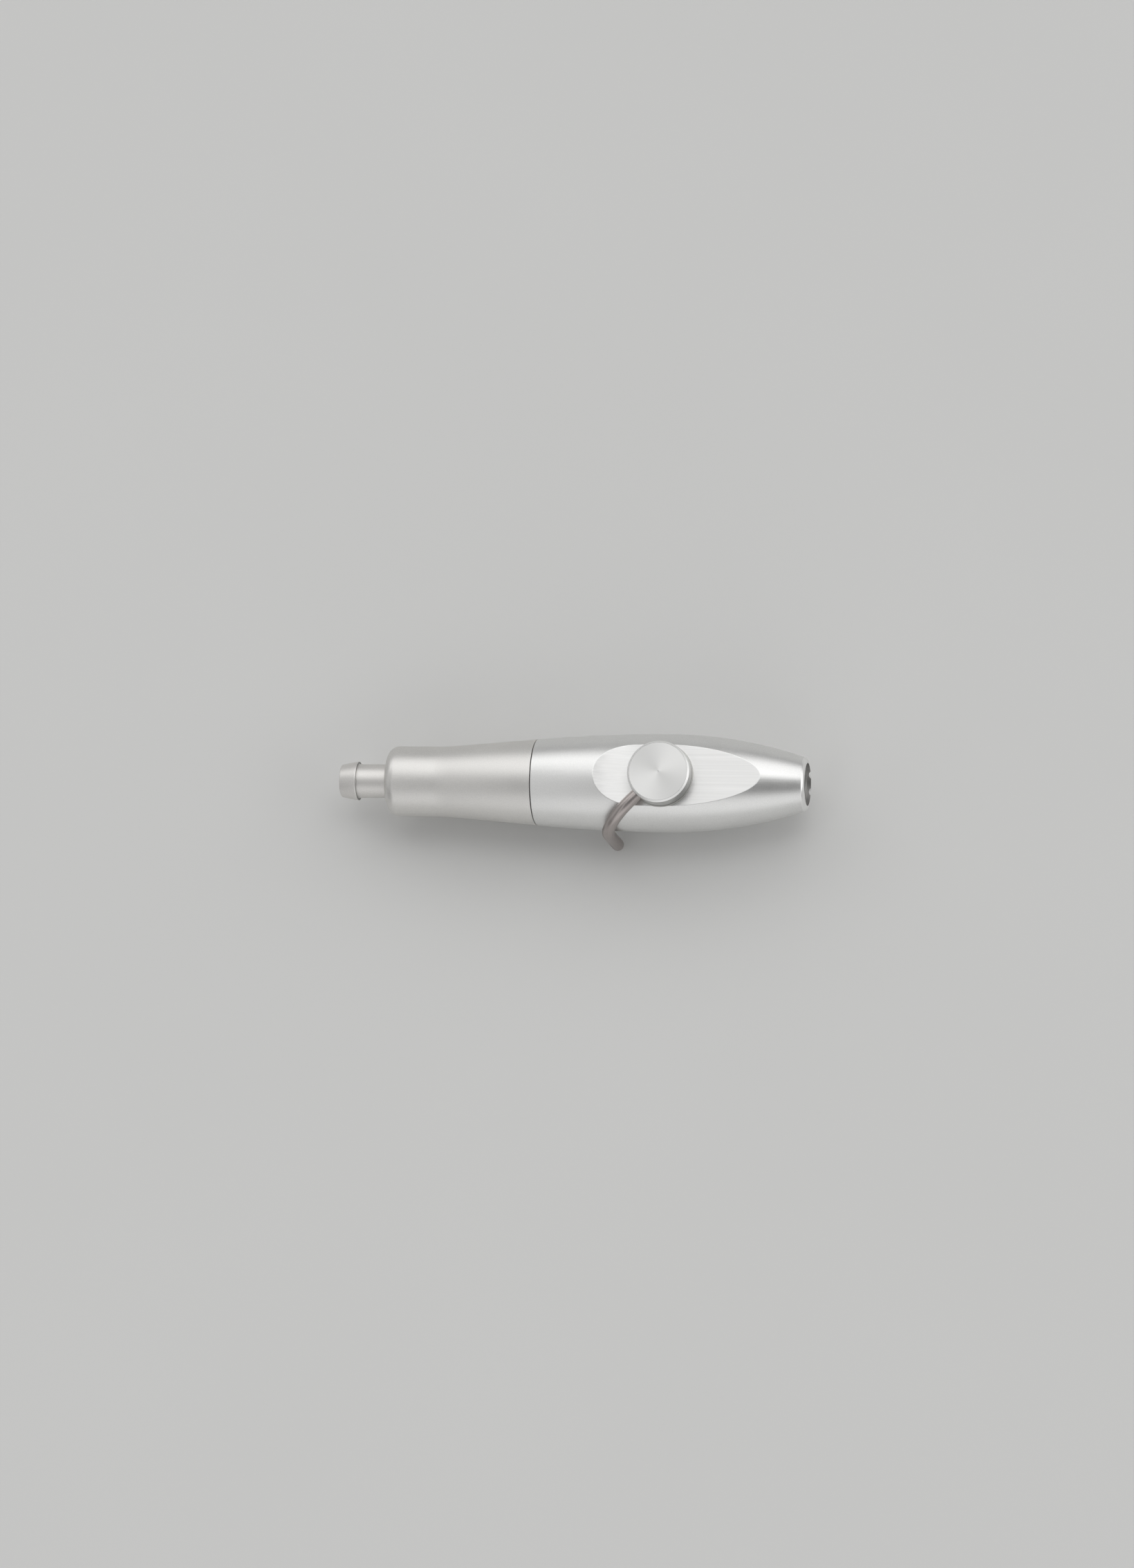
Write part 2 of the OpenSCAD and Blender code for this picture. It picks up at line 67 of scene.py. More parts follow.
body_low, body_high = box_mm("valve_body")
tail_low, tail_high = box_mm("tail_housing")
knob_low, knob_high = box_mm("control_knob")
washer_low, washer_high = box_mm("knob_washer")
cap_low, cap_high = box_mm("back_cap")
barb_low, barb_high = box_mm("hose_barb")
lever_low, lever_high = box_mm("lever")
stem_high_z = box_mm("valve_rotor")[1].z

rotor_joint = next(joint for joint in frame["joints"] if joint["name"] == "rotor_turn")
rotor_x = rotor_joint["pos_m"][0] / MM
body_r = body_high.y
lip_x = body_high.x
spigot_x = body_low.x
knob_r = (knob_high.y - knob_low.y) / 2
washer_r = (washer_high.y - washer_low.y) / 2
cap_r = (cap_high.y - cap_low.y) / 2
seat_z = washer_low.z
spot_depth = 0.02
flat_z = seat_z + spot_depth
seam_gap = 0.15
seam_x = tail_high.x + seam_gap

# Body: two arcs that meet at the widest point, then the rounded lip
body_max_x = -26.1
rear_arc_r = 293
nose_arc_r = 83.5
lip_round = 1
mouth_r = 4.15
mouth_edge = 0.02
mouth_floor_x = 0.2
flat_end_x = -31.6
flat_sweep_r = 18
flat_edge = 0.03
seam_edge = 0.1
seam_edge_mid = 0.29 * seam_edge

# Scallops in the lip, at degrees from straight down
scallop_angles = [38, -8]
scallop_r = 0.9
scallop_out = 0.5

# Bores of the body
socket_r = 3.3
socket_l = 16
grip_groove_r = 4.32
grip_groove_w = 1.4
grip_groove_xs = [-7, -12.5]
passage_r = 2.75
outlet_cone_r = 4.6
outlet_cone_l = 2.2
rotor_bore_r = 5.04
rotor_bore_top = 5.3
neck_hole_r = 2.95
cap_thread_r = 5.5
cap_counterbore_top = -5.5
cap_thread_play = 0.02
spot_play = 0.03

# Spigot and the thread that the tail turns on. The thread's flat and flank are shares of its pitch
register_r = 6.55
register_l = 2.8
relief_l = 0.6
relief_r = 5.5
joint_groove_x = seam_x - 1.6
joint_groove_w = 1.3
joint_groove_r = 5.44
thread_r = 6
thread_depth = 0.54
thread_pitch = 1
thread_root_flat = 1 / 4
thread_flank = 5 / 16
thread_lead = 0.6
thread_play = 0.05

# Tail housing
tail_r = 6.84
shoulder_r = 2.15
flare_x = -70
flare_blend_r = 30
register_play = 0.05
register_chamfer = 0.15
register_runout = 0.3
thread_end_x = spigot_x - 0.6
tail_bore_r = 5.2
tail_wall_x = -79.8
screen_seat_x = -61.55
screen_recess_r = 5.9
clip_x = -74.75
clip_play = 0.05
clip_groove_w = 0.8
clip_groove_r = 5.65
stem_hole_r = 3.34
stem_hole_chamfer = 0.2

# Hose barb
outlet_r = 2.4
barb_end_r = 3.15
crest_r = 3.76
crest_x = -87.9
crest_land = 0.3
barb_stem_r = 3.29
barb_flange_l = 3.6
barb_groove_r = 4.03
barb_groove_w = 1.3
funnel_r = 4.2
funnel_l = 1.8

# Knob and washer
stem_r = 2.4
stem_play = 0.02
stem_head_play = 0.03
knob_chamfer = 0.38
knob_chamfer_h = 0.6
knob_side_draft = 0.02
centre_mark_r = 0.14
centre_mark_depth = 0.12
face_groove_w = 0.06
face_groove_depth = 0.03
pin_reach = 4.6
pin_slot_r = 0.7
pin_slot_top = 8.75
washer_play = 0.05

# Lever
lever_r = 1.225
lever_play = 0.015
lever_angle = math.radians(225)
lever_bend_r = 7.5
lever_reach = 15.1
lever_thread_r = 0.85
lever_thread_in = -1.5
lever_thread_chamfer = 0.15
lever_shoulder = 2.9
lever_shoulder_chamfer = 0.1
lever_z = lever_high.z - lever_r
lever_end_z = lever_low.z + lever_r

# Back cap and its coin slot
cap_edge = 0.5
cap_hollow_r = 3
cap_hollow_past_seat = 0.4
slot_w = 1.4
slot_depth = 0.9
slot_chamfer = 0.15


# ---------------------------------------------------------------- mesh helpers

ROUND_STEP = math.radians(10)
SEGMENTS = 192


def circle_angles(count=SEGMENTS):
    """Evenly spaced angles for one turn."""
    return np.linspace(0, 2 * math.pi, count, endpoint=False)


def about_x(radius, x, angles):
    """Ring of points about the X axis, from +Z towards +Y. The radius may vary around it."""
    radius = np.broadcast_to(radius, angles.shape)
    places = np.full(angles.shape, float(x))
    return np.stack([places, radius * np.sin(angles), radius * np.cos(angles)], 1)


def about_z(radius, z, angles):
    """Ring of points about the rotor's axis."""
    radius = np.broadcast_to(radius, angles.shape)
    heights = np.full(angles.shape, float(z))
    return np.stack([rotor_x + radius * np.cos(angles), radius * np.sin(angles), heights], 1)


def skin(name, rings, finishes, loop):
    """Mesh object through rings of points in mm. A ring of one point is a pole.
    finishes has a material index for each stretch between two rings, or one for each of its columns."""
    rings = [np.atleast_2d(ring) for ring in rings]
    starts = np.cumsum([0] + [len(ring) for ring in rings])
    faces, kinds = [], []
    for i in range(len(rings) if loop else len(rings) - 1):
        k = (i + 1) % len(rings)
        here, there = starts[i], starts[k]
        count = max(len(rings[i]), len(rings[k]))
        finish = np.broadcast_to(finishes[i], count)
        for j in range(count):
            n = (j + 1) % count
            if len(rings[i]) == 1:
                faces.append((here, there + n, there + j))
            elif len(rings[k]) == 1:
                faces.append((here + j, here + n, there))
            else:
                faces.append((here + j, here + n, there + n, there + j))
            kinds.append(int(finish[j]))
    mesh = bpy.data.meshes.new(name)
    mesh.from_pydata((np.concatenate(rings) * MM).tolist(), [], faces)
    mesh.polygons.foreach_set("material_index", kinds)
    piece = bpy.data.objects.new(name, mesh)
    bpy.context.scene.collection.objects.link(piece)
    tidy_normals(piece)
    return piece


def tidy_normals(piece, crease=math.radians(32)):
    """Faces outward, smooth but for edges sharper than the crease angle."""
    work = bmesh.new()
    work.from_mesh(piece.data)
    bmesh.ops.recalc_face_normals(work, faces=work.faces)
    work.to_mesh(piece.data)
    work.free()
    piece.data.shade_smooth()
    piece.data.set_sharp_from_angle(angle=crease)


def rounded(corners):
    """Outline through corners (radius, place, round, finish), with an arc where a corner has a round.
    Returns the points and the finish of the stretch that leaves each of them."""
    points, finishes = [], []
    for i, (radius, place, fillet, finish) in enumerate(corners):
        corner = Vector((radius, place))
        if not fillet:
            points.append(corner)
            finishes.append(finish)
            continue
        before = Vector(corners[i - 1][:2]) - corner
        after = Vector(corners[(i + 1) % len(corners)][:2]) - corner
        half = before.angle(after) / 2
        reach = fillet / math.tan(half)
        before, after = before.normalized(), after.normalized()
        centre = corner + (before + after).normalized() * fillet / math.sin(half)
        steps = max(2, math.ceil((math.pi - 2 * half) / ROUND_STEP))
        first, last = corner + before * reach - centre, corner + after * reach - centre
        turn = first.angle_signed(last)
        for k in range(steps + 1):
            points.append(centre + Matrix.Rotation(-turn * k / steps, 2) @ first)
            finishes.append(finish)
    return points, finishes


def lathe(name, corners, about, loop=True, segments=SEGMENTS):
    """Turned piece from an outline of corners. A corner of radius 0 is a pole."""
    angles = circle_angles(segments)
    points, finishes = rounded(corners)
    rings = [about(p[0], p[1], angles) if p[0] > 1e-6 else about(0, p[1], angles)[0] for p in points]
    return skin(name, rings, finishes, loop)


def carve(piece, cutter, finish):
    """Cuts cutter out of piece, and the cut's faces take that material index."""
    for face in cutter.data.polygons:
        face.material_index = finish
    cut = piece.modifiers.new("cut", "BOOLEAN")
    cut.operation = "DIFFERENCE"
    cut.solver = "EXACT"
    cut.material_mode = "INDEX"
    cut.object = cutter
    bpy.context.view_layer.update()
    result = bpy.data.meshes.new_from_object(piece.evaluated_get(bpy.context.evaluated_depsgraph_get()))
    piece.modifiers.clear()
    piece.data = result
    bpy.data.objects.remove(cutter)
    tidy_normals(piece)


def placed(cutter, place):
    """Moves a cutter by the matrix place, which is in mm."""
    move = place.copy()
    move.translation = place.translation * MM
    cutter.data.transform(move)
    return cutter


def bar(low, high, radius, place, segments=96):
    """Closed cylinder about its own Z axis from low to high, moved by the matrix place."""
    angles = circle_angles(segments)
    ring = np.stack([radius * np.cos(angles), radius * np.sin(angles), np.zeros(segments)], 1)
    rings = [(0, 0, low), ring + (0, 0, low), ring + (0, 0, high), (0, 0, high)]
    return placed(skin("cutter", rings, [0, 0, 0], loop=False), place)


def block(outline, low, high, place):
    """Closed prism of an outline of (x, y) points from low to high, moved by the matrix place."""
    flat = np.array([(x, y, 0) for x, y in outline], float)
    middle = np.array([*np.mean(outline, 0), 0])
    rings = [middle + (0, 0, low), flat + (0, 0, low), flat + (0, 0, high), middle + (0, 0, high)]
    return placed(skin("cutter", rings, [0, 0, 0], loop=False), place)


def thread_radius(x, angles):
    """Radius of the male thread at a place: flat crest and root, with straight flanks between them."""
    phase = (x / thread_pitch - (math.pi / 2 - angles) / (2 * math.pi)) % 1
    from_root = np.abs(phase - 0.5)
    tooth = np.clip((from_root - thread_root_flat / 2) / thread_flank, 0, 1)
    return thread_r - thread_depth * (1 - tooth)


# ---------------------------------------------------------------- valve body

SATIN, MILLED, BORE, SOCKET, LIP = 0, 1, 2, 3, 4

# Lines along the body in each quarter turn: on the flat, near its edge (degrees from it) and on the side
FLAT_LINES = 14
SIDE_LINES = 29
NEAR_EDGE = [-1.6, -1.1, -0.75, -0.5, -0.3, -0.1, 0.1, 0.3, 0.5, 0.75, 1.1, 1.6]
QUARTER_INNER = FLAT_LINES + len(NEAR_EDGE) // 2
QUARTER_LINES = FLAT_LINES + len(NEAR_EDGE) + SIDE_LINES
SPIGOT_THREAD_RINGS = 56
TAIL_THREAD_RINGS = 66


def body_radius(x):
    """Outside radius of the body as turned, before the flats."""
    arc_r = rear_arc_r if x < body_max_x else nose_arc_r
    return body_r - arc_r + math.sqrt(arc_r**2 - (x - body_max_x) ** 2)


def flat_height(x):
    """Height of the milled flat above the body axis."""
    if x >= flat_end_x:
        return flat_z
    reach = min(flat_end_x - x, flat_sweep_r)
    return flat_z + flat_sweep_r - math.sqrt(flat_sweep_r**2 - reach**2)


def where_flat_ends(inside, outside):
    """Place between inside and outside where the flat runs out of the turned surface."""
    for _ in range(50):
        middle = (inside + outside) / 2
        if flat_height(middle) < body_radius(middle):
            inside = middle
        else:
            outside = middle
    return inside


def quadrant(edge):
    """Angles of one quarter turn, from the middle of the flat to the side, close at the flat's edge.
    Every quarter has the same number of lines, so that rings join line to line."""
    near = np.radians(NEAR_EDGE) + edge
    inner = np.linspace(0, near[0], FLAT_LINES + 1)[:-1]
    outer = np.linspace(near[-1], math.pi / 2, SIDE_LINES + 1)[1:]
    return np.concatenate([inner, near, outer])


def body_angles(x):
    """Angles of the body's lines at x, mirrored into all four quarters."""
    least = math.radians(3)
    ratio = min(1, flat_height(x) / body_radius(x))
    quarter = quadrant(max(least, math.acos(ratio)))
    half = np.concatenate([quarter, math.pi - quarter[-2::-1]])
    return np.concatenate([half, 2 * math.pi - half[-2:0:-1]])


def body_ring(x):
    """Ring of the body's outside: the turned radius, or the flat where that is lower, blended."""
    angles = body_angles(x)
    turned = body_radius(x)
    milled = flat_height(x) / np.maximum(np.abs(np.cos(angles)), 1e-4)
    blend = np.maximum(flat_edge - np.abs(turned - milled), 0) / flat_edge
    return about_x(np.minimum(turned, milled) - blend**2 * flat_edge / 4, x, angles)


def body_finish(x):
    """Material index of each column of the body's outside at x."""
    count = 4 * (QUARTER_LINES - 1)
    finish = np.full(count, SATIN)
    if flat_height(x) < body_radius(x):
        columns = np.arange(count)
        from_top = np.minimum(columns, count - 1 - columns)
        from_bottom = np.abs(columns - (count - 1) / 2) - 0.5
        finish[(from_top < QUARTER_INNER) | (from_bottom < QUARTER_INNER)] = MILLED
    return finish


def spread(start, end, step):
    """Evenly spaced places from start up to but not including end."""
    return list(np.linspace(start, end, max(2, round(abs(end - start) / step)), endpoint=False))


def towards(start, end, count):
    """Places from start up to but not including end, ever closer together."""
    return [end + (start - end) * (1 - k / count) ** 2 for k in range(count)]


def leaving(start, end, count):
    """Places from start up to but not including end, ever wider apart."""
    return [start + (end - start) * (k / count) ** 2 for k in range(count)]


def valve_body():
    """Body from the seam out along the skin to the nose, back through the bores and over the spigot."""
    rear_end = where_flat_ends(body_max_x, seam_x)
    nose_end = where_flat_ends(body_max_x, lip_x)
    lip_cx = lip_x - lip_round
    lip_cr = body_r - nose_arc_r + math.sqrt((nose_arc_r - lip_round) ** 2 - (lip_cx - body_max_x) ** 2)
    lip_tangent = math.asin((lip_cx - body_max_x) / (nose_arc_r - lip_round))
    lip_start_x = body_max_x + nose_arc_r * math.sin(lip_tangent)

    # Rings along the outside, closest where the flat runs out at either end
    outside = [seam_x + seam_edge] + spread(seam_x + seam_edge + 0.03, rear_end - 1, 0.6)
    outside += towards(rear_end - 1, rear_end, 8)
    outside += leaving(rear_end, rear_end + 3, 24) + spread(rear_end + 3, nose_end - 3, 0.5)
    outside += towards(nose_end - 3, nose_end, 24) + leaving(nose_end, nose_end + 1, 8)
    outside += spread(nose_end + 1, lip_start_x, 0.4)
    rings = [body_ring(x) for x in outside]
    finishes = [body_finish((x + y) / 2) for x, y in zip(outside, outside[1:] + [lip_start_x])]

    # The lip's round, the mouth and the bores, from the nose back to the spigot's end
    ends = body_angles(lip_x)
    inside = []
    for angle in np.linspace(lip_tangent, math.pi, 24):
        inside.append((lip_cr + lip_round * math.cos(angle), lip_cx + lip_round * math.sin(angle), LIP))
    inside = [(r, x, finish) for r, x, finish in inside if r >= mouth_r]
    inside += [(mouth_r, lip_x - mouth_edge, SOCKET), (mouth_r, mouth_floor_x, BORE)]
    inside += [(socket_r + mouth_floor_x, mouth_floor_x, BORE), (socket_r, 0, BORE)]
    for groove_x in grip_groove_xs:
        inside += [
            (socket_r, groove_x + grip_groove_w / 2, BORE),
            (grip_groove_r, groove_x + grip_groove_w / 2, BORE),
            (grip_groove_r, groove_x - grip_groove_w / 2, BORE),
            (socket_r, groove_x - grip_groove_w / 2, BORE),
        ]
    inside += [
        (socket_r, -socket_l, BORE),
        (passage_r, -socket_l, BORE),
        (passage_r, spigot_x + outlet_cone_l, BORE),
        (outlet_cone_r, spigot_x, BORE),
    ]
    for radius, x, finish in inside:
        rings.append(about_x(radius, x, ends))
        finishes.append(finish)

    # The thread with its lead-in chamfer, then the relief, the register and the seam's edge
    thread_top = seam_x - register_l - relief_l
    for x in np.linspace(spigot_x, thread_top, SPIGOT_THREAD_RINGS):
        chamfer = thread_r - thread_lead + (x - spigot_x)
        rings.append(about_x(np.minimum(thread_radius(x, ends), chamfer), x, ends))
        finishes.append(BORE)
    groove_low, groove_high = joint_groove_x - joint_groove_w / 2, joint_groove_x + joint_groove_w / 2
    seam_r = body_radius(seam_x)
    for radius, x in [
        (relief_r, thread_top),
        (relief_r, seam_x - register_l),
        (register_r, seam_x - register_l),
        (register_r, groove_low),
        (joint_groove_r, groove_low),
        (joint_groove_r, groove_high),
        (register_r, groove_high),
        (register_r, seam_x),
        (seam_r - seam_edge, seam_x),
        (seam_r - seam_edge_mid, seam_x + seam_edge_mid),
    ]:
        rings.append(about_x(radius, x, ends))
        finishes.append(BORE)
    # The stretches at the seam show outside
    finishes[-4:] = [SATIN] * 4
    piece = skin("body_shell", rings, finishes, loop=True)

    # Spot faces of the washer and the cap, the rotor's bore and neck hole, and the cap's counterbore
    upright = Matrix.Translation((rotor_x, 0, 0))
    past = 1
    cap_bore_r = cap_thread_r + cap_thread_play
    carve(piece, bar(seat_z, flat_z + 3 * past, washer_r + spot_play, upright, 192), MILLED)
    carve(piece, bar(-flat_z - 3 * past, -seat_z, cap_r + spot_play, upright, 192), MILLED)
    carve(piece, bar(-flat_z - past, rotor_bore_top, rotor_bore_r, upright, 160), BORE)
    carve(piece, bar(rotor_bore_top - past, flat_z + past, neck_hole_r, upright), BORE)
    carve(piece, bar(-flat_z - past, cap_counterbore_top, cap_bore_r, upright, 160), BORE)

    # Scallops in the lip
    ahead = Matrix.Translation((lip_x + scallop_out, 0, 0))
    for angle in scallop_angles:
        tilt = Matrix.Rotation(math.radians(angle), 4, "X")
        carve(piece, bar(-2 * body_r, 0, scallop_r, tilt @ ahead, 64), SATIN)
    return piece


# ---------------------------------------------------------------- tail housing and barb

SKIN_STRAIGHT, SKIN_FLARE, INSIDE = 0, 1, 2


def tail_housing():
    """Tail from the stem's hole over the shoulder and flare to the seam, and back through the bores."""
    front_x = tail_high.x
    front_r = tail_high.y
    slope = math.atan2(front_r - tail_r, front_x - flare_x)
    blend_l = flare_blend_r * math.tan(slope / 2)
    corners = [(tail_r - shoulder_r, tail_low.x)]
    for angle in np.linspace(math.radians(-90), 0, 16):
        corners.append((tail_r - shoulder_r + shoulder_r * math.cos(angle),
                        tail_low.x + shoulder_r + shoulder_r * math.sin(angle)))
    straight = len(corners)
    for angle in np.linspace(0, slope, 8):
        corners.append((tail_r + flare_blend_r * (1 - math.cos(angle)),
                        flare_x - blend_l + flare_blend_r * math.sin(angle)))
    # The small round of the front edge
    corners += [
        (front_r - 0.02, front_x - 0.1),
        (front_r - 0.03, front_x - 0.03),
        (front_r - 0.12, front_x),
    ]
    angles = circle_angles()
    rings = [about_x(radius, x, angles) for radius, x in corners]
    finishes = [SKIN_STRAIGHT] * straight + [SKIN_FLARE] * (len(corners) - straight)

    # Register, thread, screen recess, main bore with the clip's groove, and the hole for the barb's stem
    register_bore = register_r + register_play
    register_end = seam_x - register_l - register_runout
    for radius, x, finish in [
        (register_bore + register_chamfer, front_x, SKIN_FLARE),
        (register_bore, front_x - register_chamfer, INSIDE),
        (register_bore, register_end, INSIDE),
    ]:
        rings.append(about_x(radius, x, angles))
        finishes.append(finish)
    for x in np.linspace(register_end, thread_end_x, TAIL_THREAD_RINGS):
        rings.append(about_x(thread_radius(x, angles) + thread_play, x, angles))
        finishes.append(INSIDE)
    groove_high = clip_x + clip_play
    groove_low = groove_high - clip_groove_w
    for radius, x in [
        (screen_recess_r, thread_end_x),
        (screen_recess_r, screen_seat_x),
        (tail_bore_r, screen_seat_x),
        (tail_bore_r, groove_high),
        (clip_groove_r, groove_high),
        (clip_groove_r, groove_low),
        (tail_bore_r, groove_low),
        (tail_bore_r, tail_wall_x),
        (stem_hole_r, tail_wall_x),
        (stem_hole_r, tail_low.x + stem_hole_chamfer),
        (stem_hole_r + stem_hole_chamfer, tail_low.x),
    ]:
        rings.append(about_x(radius, x, angles))
        finishes.append(INSIDE)
    finishes[-1] = SKIN_STRAIGHT
    return skin("tail_shell", rings, finishes, loop=True)


def hose_barb():
    """Barb with its stem, and the flange that turns in the tail."""
    front_x, back_x = barb_high.x, barb_high.x - barb_flange_l
    flange_r = barb_high.y
    groove_x = (front_x + back_x) / 2
    groove_low, groove_high = groove_x - barb_groove_w / 2, groove_x + barb_groove_w / 2
    corners = [
        (outlet_r, barb_low.x, 0.1, 0),
        (barb_end_r, barb_low.x, 0.2, 0),
        (crest_r, crest_x, 0.03, 0),
        # The crest's rear face takes the dark bore material (index 1): a painted shadow under the crest
        (crest_r, crest_x + crest_land, 0.03, 1),
        (barb_stem_r, crest_x + crest_land, 0.06, 0),
        (barb_stem_r, back_x, 0, 0),
        (flange_r, back_x, 0.1, 0),
        (flange_r, groove_low, 0, 0),
        (barb_groove_r, groove_low, 0, 0),
        (barb_groove_r, groove_high, 0, 0),
        (flange_r, groove_high, 0, 0),
        (flange_r, front_x, 0.1, 0),
        (funnel_r, front_x, 0, 0),
        (outlet_r, front_x - funnel_l, 0, 0),
    ]
    return lathe("barb_shell", corners, about_x)


# ---------------------------------------------------------------- knob, washer, lever, cap

TURNED, SIDE, EDGE = 0, 1, 2


def control_knob():
    """Knob with its chamfer, the stem's hollow, the lever's hole and the arc slot of the stop pin."""
    top, low = knob_high.z, knob_low.z
    hollow = stem_high_z + stem_head_play
    face_r = knob_r - knob_chamfer
    corners = [
        (0, top - centre_mark_depth, 0, TURNED),
        (centre_mark_r, top, 0, TURNED),
        # The groove at the face's edge takes the darker side material: a painted dark line of shade
        (face_r - face_groove_w, top, 0, SIDE),
        (face_r - face_groove_w / 2, top - face_groove_depth, 0, SIDE),
        # The chamfer takes the lighter edge material: a painted highlight
        (face_r, top, 0.02, EDGE),
        (knob_r - knob_side_draft, top - knob_chamfer, 0.1, SIDE),
        (knob_r, top - knob_chamfer_h, 0.1, SIDE),
        (knob_r, low, 0.15, SIDE),
        (stem_r + stem_play, low, 0, SIDE),
        (stem_r + stem_play, hollow, 0, SIDE),
        (0, hollow, 0, SIDE),
    ]
    piece = lathe("knob_shell", corners, about_z, loop=False, segments=240)
    lying = Matrix.Translation((rotor_x, 0, lever_z)) @ Matrix.Rotation(lever_angle, 4, "Z")
    lying = lying @ Matrix.Rotation(math.radians(90), 4, "Y")
    carve(piece, bar(0, 2 * knob_r, lever_r + lever_play, lying), SIDE)
    carve(piece, slot_block(pin_slot_outline()), SIDE)
    return piece


def pin_slot_outline():
    """Outline of the arc slot, from the +X side round to the +Y side, with round ends."""
    outer, inner = pin_reach + pin_slot_r, pin_reach - pin_slot_r
    arc = np.radians(range(0, 91, 5))
    end = np.radians(range(15, 166, 15))
    outline = [(outer * math.cos(a), outer * math.sin(a)) for a in arc]
    outline += [(-pin_slot_r * math.sin(a), pin_reach + pin_slot_r * math.cos(a)) for a in end]
    outline += [(inner * math.cos(a), inner * math.sin(a)) for a in arc[::-1]]
    outline += [(pin_reach + pin_slot_r * math.cos(a), -pin_slot_r * math.sin(a)) for a in end[::-1]]
    return outline


def slot_block(outline):
    """Closed prism that reaches up into the knob's foot. Its outline may be hollow on one side."""
    work = bmesh.new()
    lower = [work.verts.new(((rotor_x + x) * MM, y * MM, (knob_low.z - 1) * MM)) for x, y in outline]
    face = work.faces.new(lower)
    moved = bmesh.ops.extrude_face_region(work, geom=[face])["geom"]
    for vertex in (v for v in moved if isinstance(v, bmesh.types.BMVert)):
        vertex.co.z = pin_slot_top * MM
    bmesh.ops.recalc_face_normals(work, faces=work.faces)
    mesh = bpy.data.meshes.new("cutter")
    work.to_mesh(mesh)
    work.free()
    made = bpy.data.objects.new("cutter", mesh)
    bpy.context.scene.collection.objects.link(made)
    return made


def knob_washer():
    """Thin washer with a rounded upper edge."""
    hole_r = neck_hole_r + washer_play
    corners = [
        (hole_r, washer_low.z, 0, 0),
        (washer_r, washer_low.z, 0.05, 0),
        (washer_r, washer_high.z, 0.12, 0),
        (hole_r, washer_high.z, 0, 0),
    ]
    return lathe("washer_shell", corners, about_z)


def lever_path():
    """Centre line of the lever in its own upright plane: distance out, height, direction and radius."""
    bend_s, bend_z = lever_reach - lever_bend_r, lever_z - lever_bend_r
    stops = [
        (lever_thread_in, 0),
        (lever_thread_in, lever_thread_r - lever_thread_chamfer),
        (lever_thread_in + lever_thread_chamfer, lever_thread_r),
        (lever_shoulder, lever_thread_r),
        (lever_shoulder, lever_r - lever_shoulder_chamfer),
        (lever_shoulder + lever_shoulder_chamfer, lever_r),
    ]
    path = [(s, lever_z, 0, r) for s, r in stops]
    path += [(s, lever_z, 0, lever_r) for s in spread(lever_shoulder + 0.6, bend_s, 0.6)]
    for angle in np.radians(np.arange(0, 91, 3)):
        out, up = lever_bend_r * math.sin(angle), lever_bend_r * math.cos(angle)
        path.append((bend_s + out, bend_z + up, angle, lever_r))
    down = math.radians(90)
    path += [(lever_reach, z, down, lever_r) for z in spread(bend_z - 0.6, lever_end_z, 0.6)]
    for angle in np.radians(np.arange(0, 91, 7.5)):
        below = lever_r * math.sin(angle)
        path.append((lever_reach, lever_end_z - below, down, lever_r * math.cos(angle)))
    return path


def lever():
    """Bent rod with a round end, and a threaded end that goes into the knob."""
    angles = circle_angles(96)
    path = lever_path()
    rings = []
    for s, z, turn, radius in path:
        centre = np.array([s, 0, z])
        up = np.array([math.sin(turn), 0, math.cos(turn)])
        side = np.array([0, 1, 0])
        if radius < 1e-6:
            rings.append(centre)
        else:
            around = np.outer(np.cos(angles), up) + np.outer(np.sin(angles), side)
            rings.append(centre + radius * around)
    piece = skin("lever_rod", rings, [0] * (len(rings) - 1), loop=False)
    # Places along and around the rod, for the drawing lines
    along = np.cumsum([0] + [math.dist(a[:2], b[:2]) for a, b in zip(path, path[1:])])
    where = []
    for ring, length in zip(rings, along):
        turns = angles if ring.ndim > 1 else np.zeros(1)
        where += [(length, lever_r * math.cos(a), lever_r * math.sin(a)) for a in turns]
    drawn = piece.data.attributes.new("drawn", "FLOAT_VECTOR", "POINT")
    drawn.data.foreach_set("vector", np.array(where, np.float32).ravel())
    turn = Matrix.Rotation(lever_angle, 4, "Z")
    piece.data.transform(Matrix.Translation((rotor_x * MM, 0, 0)) @ turn)
    return piece


def back_cap():
    """Screwed cap with a coin slot in its face and a hollow behind it."""
    hollow = -seat_z - cap_hollow_past_seat
    corners = [
        (0, cap_low.z, 0, 0),
        (cap_r - cap_edge, cap_low.z, 0.1, 0),
        (cap_r, cap_low.z + cap_edge, 0.15, 0),
        (cap_r, -seat_z, 0.05, 0),
        (cap_thread_r, -seat_z, 0, 0),
        (cap_thread_r, cap_high.z, 0.1, 0),
        (cap_hollow_r, cap_high.z, 0.1, 0),
        (cap_hollow_r, hollow, 0, 0),
        (0, hollow, 0, 0),
    ]
    piece = lathe("cap_shell", corners, about_z, loop=False)
    half = slot_w / 2
    deep, wide = cap_low.z + slot_depth, half + slot_chamfer + 1
    outline = [(-half, deep), (-half, cap_low.z + slot_chamfer), (-wide, cap_low.z - 1),
               (wide, cap_low.z - 1), (half, cap_low.z + slot_chamfer), (half, deep)]
    across = Matrix(((0, 0, 1, rotor_x), (1, 0, 0, 0), (0, 1, 0, 0), (0, 0, 0, 1)))
    carve(piece, block(outline, -cap_r - 1, cap_r + 1, across), 0)
    return piece


# ---------------------------------------------------------------- finishes


def node(tree, kind, inputs=None, **settings):
    """New shader node. Each input is a value or another node's output."""
    made = tree.nodes.new(kind)
    for key, value in settings.items():
        setattr(made, key, value)
    for key, value in (inputs or {}).items():
        if isinstance(value, bpy.types.NodeSocket):
            tree.links.new(value, made.inputs[key])
        else:
            made.inputs[key].default_value = value
    return made


def math_node(tree, operation, *values):
    """Output of a maths node. Each value is a number or another node's output."""
    return node(tree, "ShaderNodeMath", dict(enumerate(values)), operation=operation).outputs[0]


